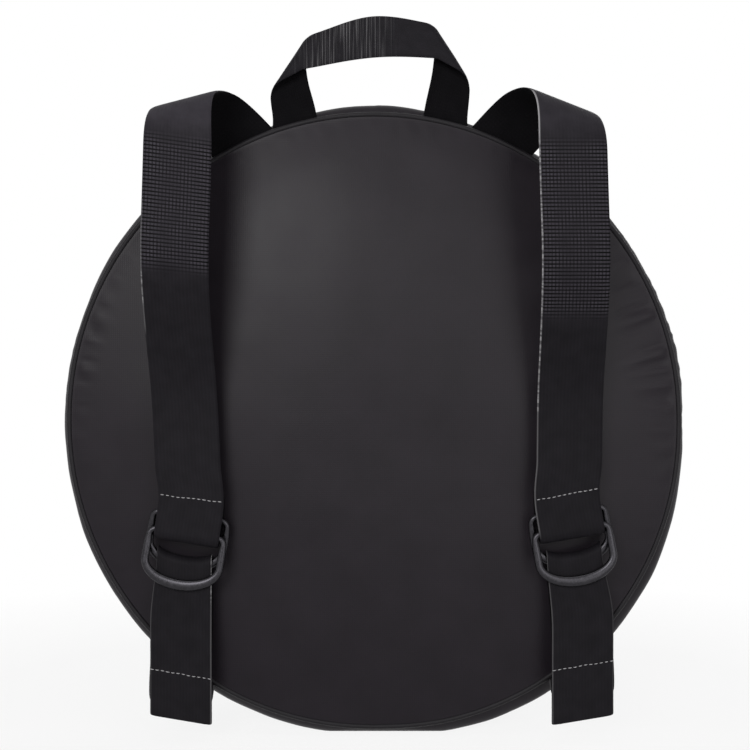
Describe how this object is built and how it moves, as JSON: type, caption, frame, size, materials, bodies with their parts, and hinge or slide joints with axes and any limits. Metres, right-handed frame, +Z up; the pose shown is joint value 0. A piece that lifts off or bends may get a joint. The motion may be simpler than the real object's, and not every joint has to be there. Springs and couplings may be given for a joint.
{
  "type": "backpack",
  "caption": "Round drum-shaped nylon backpack with a zipped side band, piped rims, webbing shoulder straps on double D-rings and a webbing grab handle.",
  "frame": {"origin": "on the ground under the middle of the bag as it stands, halfway between the front of the straps and the front panel", "axes": "+Z up, -Y toward the wearer's back (the strap side), +X to the right as one looks at the straps"},
  "size_m": [0.385, 0.1812, 0.4378],
  "materials": {
    "coated_nylon": "satin",
    "lining_cloth": "matte",
    "foam_sheet": "matte",
    "piping": "matte",
    "binding_tape": "matte",
    "webbing": "matte",
    "zip_tape": "matte",
    "zip_coil": "satin",
    "gunmetal": "satin"
  },
  "bodies": {
    "body": {"back_panel": "coated_nylon", "back_foam": "foam_sheet", "back_lining": "lining_cloth", "back_piping": "piping", "back_seam_binding": "binding_tape", "gusset_back": "coated_nylon", "bottom_gusset_back": "coated_nylon", "zip_tape_back": "zip_tape", "zip_coil_back": "zip_coil", "handle_root_left": "webbing", "handle_root_right": "webbing", "strap_root_left": "webbing", "strap_root_right": "webbing", "lower_root_left": "webbing", "lower_root_right": "webbing"},
    "lid": {"front_panel": "coated_nylon", "front_foam": "foam_sheet", "front_lining": "lining_cloth", "front_piping": "piping", "front_seam_binding": "binding_tape", "gusset_front": "coated_nylon", "bottom_gusset_front": "coated_nylon", "zip_tape_front": "zip_tape", "zip_coil_front": "zip_coil"},
    "slider_left": {"zip_slider_left": "gunmetal"},
    "slider_right": {"zip_slider_right": "gunmetal"},
    "pull_left": {"zip_pull_left": "gunmetal"},
    "pull_right": {"zip_pull_right": "gunmetal"},
    "handle": {"grab_handle": "webbing"},
    "strap_left": {"shoulder_strap_left": "webbing", "ring_upper_left": "gunmetal", "lower_strap_left": "webbing"},
    "strap_right": {"shoulder_strap_right": "webbing", "ring_upper_right": "gunmetal", "lower_strap_right": "webbing"},
    "ring_left": {"ring_lower_left": "gunmetal"},
    "ring_right": {"ring_lower_right": "gunmetal"},
    "tail_left": {"strap_tail_left": "webbing"},
    "tail_right": {"strap_tail_right": "webbing"}
  },
  "joints": [
    {"name": "lid_open", "type": "hinge", "parent": "body", "child": "lid", "pos_m": [0, 0.02498, 0], "axis": [-1, 0, 0], "range_deg": [0, 95]},
    {"name": "slider_left_travel", "type": "hinge", "parent": "body", "child": "slider_left", "pos_m": [0, 0.02498, 0.1934], "axis": [0, -1, 0], "range_deg": [0, 140]},
    {"name": "slider_right_travel", "type": "hinge", "parent": "body", "child": "slider_right", "pos_m": [0, 0.02498, 0.1934], "axis": [0, 1, 0], "range_deg": [0, 140]},
    {"name": "pull_left_lift", "type": "hinge", "parent": "slider_left", "child": "pull_left", "pos_m": [-0.00963, 0.02498, 0.38826], "axis": [0, 1, 0], "range_deg": [0, 110]},
    {"name": "pull_right_lift", "type": "hinge", "parent": "slider_right", "child": "pull_right", "pos_m": [0.00963, 0.02498, 0.38826], "axis": [0, -1, 0], "range_deg": [0, 110]},
    {"name": "handle_fold", "type": "hinge", "parent": "body", "child": "handle", "pos_m": [-0.0024, -0.02822, 0.38461], "axis": [0.9999, 0, 0.0128], "range_deg": [-60, 75], "stiffness_Nm_per_rad": 0.05},
    {"name": "strap_left_swing", "type": "hinge", "parent": "body", "child": "strap_left", "pos_m": [-0.07531, -0.02822, 0.3626], "axis": [0.1464, 0.0489, 0.988], "range_deg": [-9, 9], "stiffness_Nm_per_rad": 0.15},
    {"name": "strap_right_swing", "type": "hinge", "parent": "body", "child": "strap_right", "pos_m": [0.07681, -0.02822, 0.36192], "axis": [-0.176, 0.0487, 0.9832], "range_deg": [-9, 9], "stiffness_Nm_per_rad": 0.15},
    {"name": "ring_left_lift", "type": "hinge", "parent": "strap_left", "child": "ring_left", "pos_m": [-0.11036, -0.05302, 0.12357], "axis": [-0.9863, 0, 0.165], "range_deg": [0, 35]},
    {"name": "ring_right_lift", "type": "hinge", "parent": "strap_right", "child": "ring_right", "pos_m": [0.11676, -0.05302, 0.12607], "axis": [-0.9863, 0, -0.165], "range_deg": [0, 35]},
    {"name": "tail_left_swing", "type": "hinge", "parent": "strap_left", "child": "tail_left", "pos_m": [-0.11421, -0.05107, 0.0869], "axis": [-0.9851, 0, 0.1721], "range_deg": [0, 50]},
    {"name": "tail_right_swing", "type": "hinge", "parent": "strap_right", "child": "tail_right", "pos_m": [0.12283, -0.05107, 0.0869], "axis": [-0.9854, 0, -0.1705], "range_deg": [0, 50]}
  ]
}
